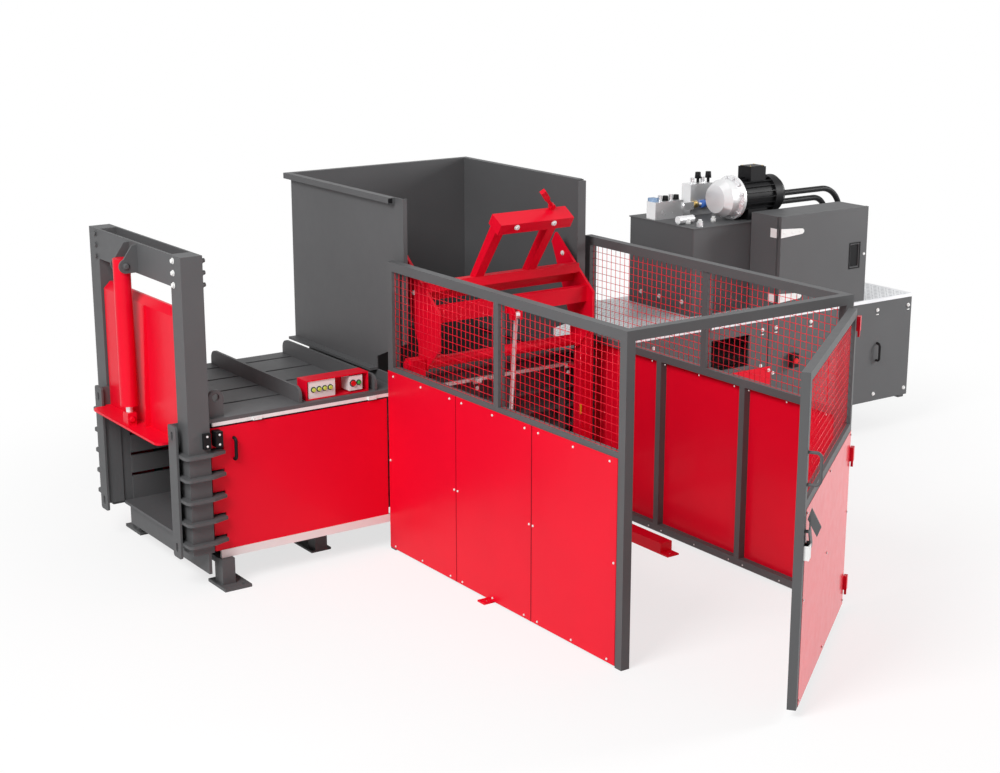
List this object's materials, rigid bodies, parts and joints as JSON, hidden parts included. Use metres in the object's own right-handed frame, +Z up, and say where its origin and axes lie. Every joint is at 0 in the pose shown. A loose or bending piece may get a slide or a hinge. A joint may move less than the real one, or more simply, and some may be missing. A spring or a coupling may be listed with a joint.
{
  "type": "recycling baler",
  "caption": "Horizontal recycling baler with bin lift, hopper, guard fence with gate, guillotine bale door, ram housing and power pack.",
  "frame": {"origin": "on the floor, midway between the four floor anchors", "axes": "+X from the bale exit to the power pack, -Y to the operator's side, +Z up"},
  "size_m": [6.7609, 5.0929, 2.472],
  "materials": {
    "grey_paint": "satin",
    "red_paint": "gloss",
    "white_paint": "satin",
    "black_paint": "satin",
    "black_plastic": "matte",
    "red_plastic": "gloss",
    "green_plastic": "gloss",
    "chrome_rod": "polished",
    "tread_aluminium": "satin",
    "cast_aluminium": "polished",
    "bright_steel": "satin"
  },
  "bodies": {
    "frame": {"base_frame": "grey_paint", "anchor_feet": "grey_paint", "channel_walls": "grey_paint", "wall_ribs": "grey_paint", "column_ribs": "grey_paint", "channel_roof": "grey_paint", "exit_portal": "grey_paint", "door_cylinder": "red_paint", "guard_rails": "white_paint", "switch_boxes": "black_plastic", "control_hood": "red_paint", "control_panels": "white_paint", "hopper": "grey_paint", "main_cylinder": "grey_paint", "ram_housing": "grey_paint", "side_covers": "grey_paint", "service_hatch": "red_paint", "cover_handles": "black_plastic", "tread_platform": "tread_aluminium", "oil_tank": "grey_paint", "bell_housing": "cast_aluminium", "pump_motor": "black_paint", "valve_blocks": "bright_steel", "hydraulic_pipes": "black_paint", "control_cabinet": "grey_paint", "fence_left_frame": "grey_paint", "fence_left_mesh": "red_paint", "fence_left_sheets": "red_paint", "fence_right_frame": "grey_paint", "fence_right_mesh": "red_paint", "fence_right_sheets": "red_paint", "gate_hinges": "red_paint", "lift_base": "red_paint", "lift_cylinder": "grey_paint"},
    "press_ram": {"press_ram": "grey_paint", "ram_rod": "chrome_rod"},
    "bale_door": {"bale_door": "red_paint", "door_rod": "chrome_rod"},
    "side_guard_front": {"side_guard_front": "red_paint", "guard_fittings_front": "black_paint"},
    "side_guard_rear": {"side_guard_rear": "red_paint", "guard_fittings_rear": "black_paint"},
    "gate": {"gate_frame": "grey_paint", "gate_mesh": "red_paint", "gate_sheet": "red_paint", "gate_handle": "bright_steel"},
    "gate_latch": {"gate_latch": "black_paint"},
    "cabinet_door": {"cabinet_door": "grey_paint"},
    "cabinet_handle": {"cabinet_handle": "black_plastic"},
    "bin_tipper": {"bin_tipper": "red_paint", "tipping_frame": "red_paint"},
    "bin_clamp": {"bin_clamp": "red_paint"},
    "lift_rod": {"lift_rod": "chrome_rod"},
    "panel_button_1": {"panel_button_1": "green_plastic"},
    "panel_button_2": {"panel_button_2": "green_plastic"},
    "panel_button_3": {"panel_button_3": "green_plastic"},
    "panel_button_4": {"panel_button_4": "green_plastic"},
    "stop_button": {"stop_button": "red_plastic"},
    "start_button": {"start_button": "green_plastic"},
    "emergency_stop": {"emergency_stop": "red_plastic"}
  },
  "joints": [
    {"name": "ram_slide", "type": "slide", "parent": "frame", "child": "press_ram", "axis": [-1, 0, 0], "range_m": [0, 1.6]},
    {"name": "bale_door_slide", "type": "slide", "parent": "frame", "child": "bale_door", "axis": [0, 0, 1], "range_m": [-0.68, 0]},
    {"name": "side_guard_front_slide", "type": "slide", "parent": "frame", "child": "side_guard_front", "axis": [1, 0, 0], "range_m": [0, 1.1]},
    {"name": "side_guard_rear_slide", "type": "slide", "parent": "frame", "child": "side_guard_rear", "axis": [1, 0, 0], "range_m": [0, 1.1]},
    {"name": "gate_hinge", "type": "hinge", "parent": "frame", "child": "gate", "pos_m": [1.714, -3.233, 1], "axis": [0, 0, 1], "range_deg": [-36, 60]},
    {"name": "gate_latch_turn", "type": "hinge", "parent": "gate", "child": "gate_latch", "pos_m": [0.40676, -4.21367, 1.06], "axis": [0.5878, -0.809, 0], "range_deg": [0, 55]},
    {"name": "cabinet_door_hinge", "type": "hinge", "parent": "frame", "child": "cabinet_door", "pos_m": [3.613, -0.588, 1.5575], "axis": [0, 0, -1], "range_deg": [0, 110]},
    {"name": "cabinet_handle_turn", "type": "hinge", "parent": "cabinet_door", "child": "cabinet_handle", "pos_m": [4.445, -0.5968, 1.6315], "axis": [-1, 0, 0], "range_deg": [0, 40]},
    {"name": "bin_tipper_hinge", "type": "hinge", "parent": "frame", "child": "bin_tipper", "pos_m": [0.834, -0.805, 1.3], "axis": [1, 0, 0], "range_deg": [0, 126]},
    {"name": "bin_clamp_turn", "type": "hinge", "parent": "bin_tipper", "child": "bin_clamp", "pos_m": [1.002, -1.15232, 2.33447], "axis": [0, -0.8443, -0.5358], "range_deg": [-25, 45]},
    {"name": "lift_rod_slide", "type": "slide", "parent": "frame", "child": "lift_rod", "axis": [0, 0.0794, -0.9968], "range_m": [0, 0.59648]},
    {"name": "panel_button_1_press", "type": "slide", "parent": "frame", "child": "panel_button_1", "axis": [0, 1, 0], "range_m": [0, 0.005], "stiffness_N_per_m": 500},
    {"name": "panel_button_2_press", "type": "slide", "parent": "frame", "child": "panel_button_2", "axis": [0, 1, 0], "range_m": [0, 0.005], "stiffness_N_per_m": 500},
    {"name": "panel_button_3_press", "type": "slide", "parent": "frame", "child": "panel_button_3", "axis": [0, 1, 0], "range_m": [0, 0.005], "stiffness_N_per_m": 500},
    {"name": "panel_button_4_press", "type": "slide", "parent": "frame", "child": "panel_button_4", "axis": [0, 1, 0], "range_m": [0, 0.005], "stiffness_N_per_m": 500},
    {"name": "stop_button_press", "type": "slide", "parent": "frame", "child": "stop_button", "axis": [0, 1, 0], "range_m": [0, 0.005], "stiffness_N_per_m": 500},
    {"name": "start_button_press", "type": "slide", "parent": "frame", "child": "start_button", "axis": [0, 1, 0], "range_m": [0, 0.005], "stiffness_N_per_m": 500},
    {"name": "emergency_stop_press", "type": "slide", "parent": "frame", "child": "emergency_stop", "axis": [0, 1, 0], "range_m": [0, 0.005], "stiffness_N_per_m": 900}
  ],
  "couplings": [
    {"joint": "lift_rod_slide", "follows": "bin_tipper_hinge", "m_per_rad": 0.27101}
  ]
}
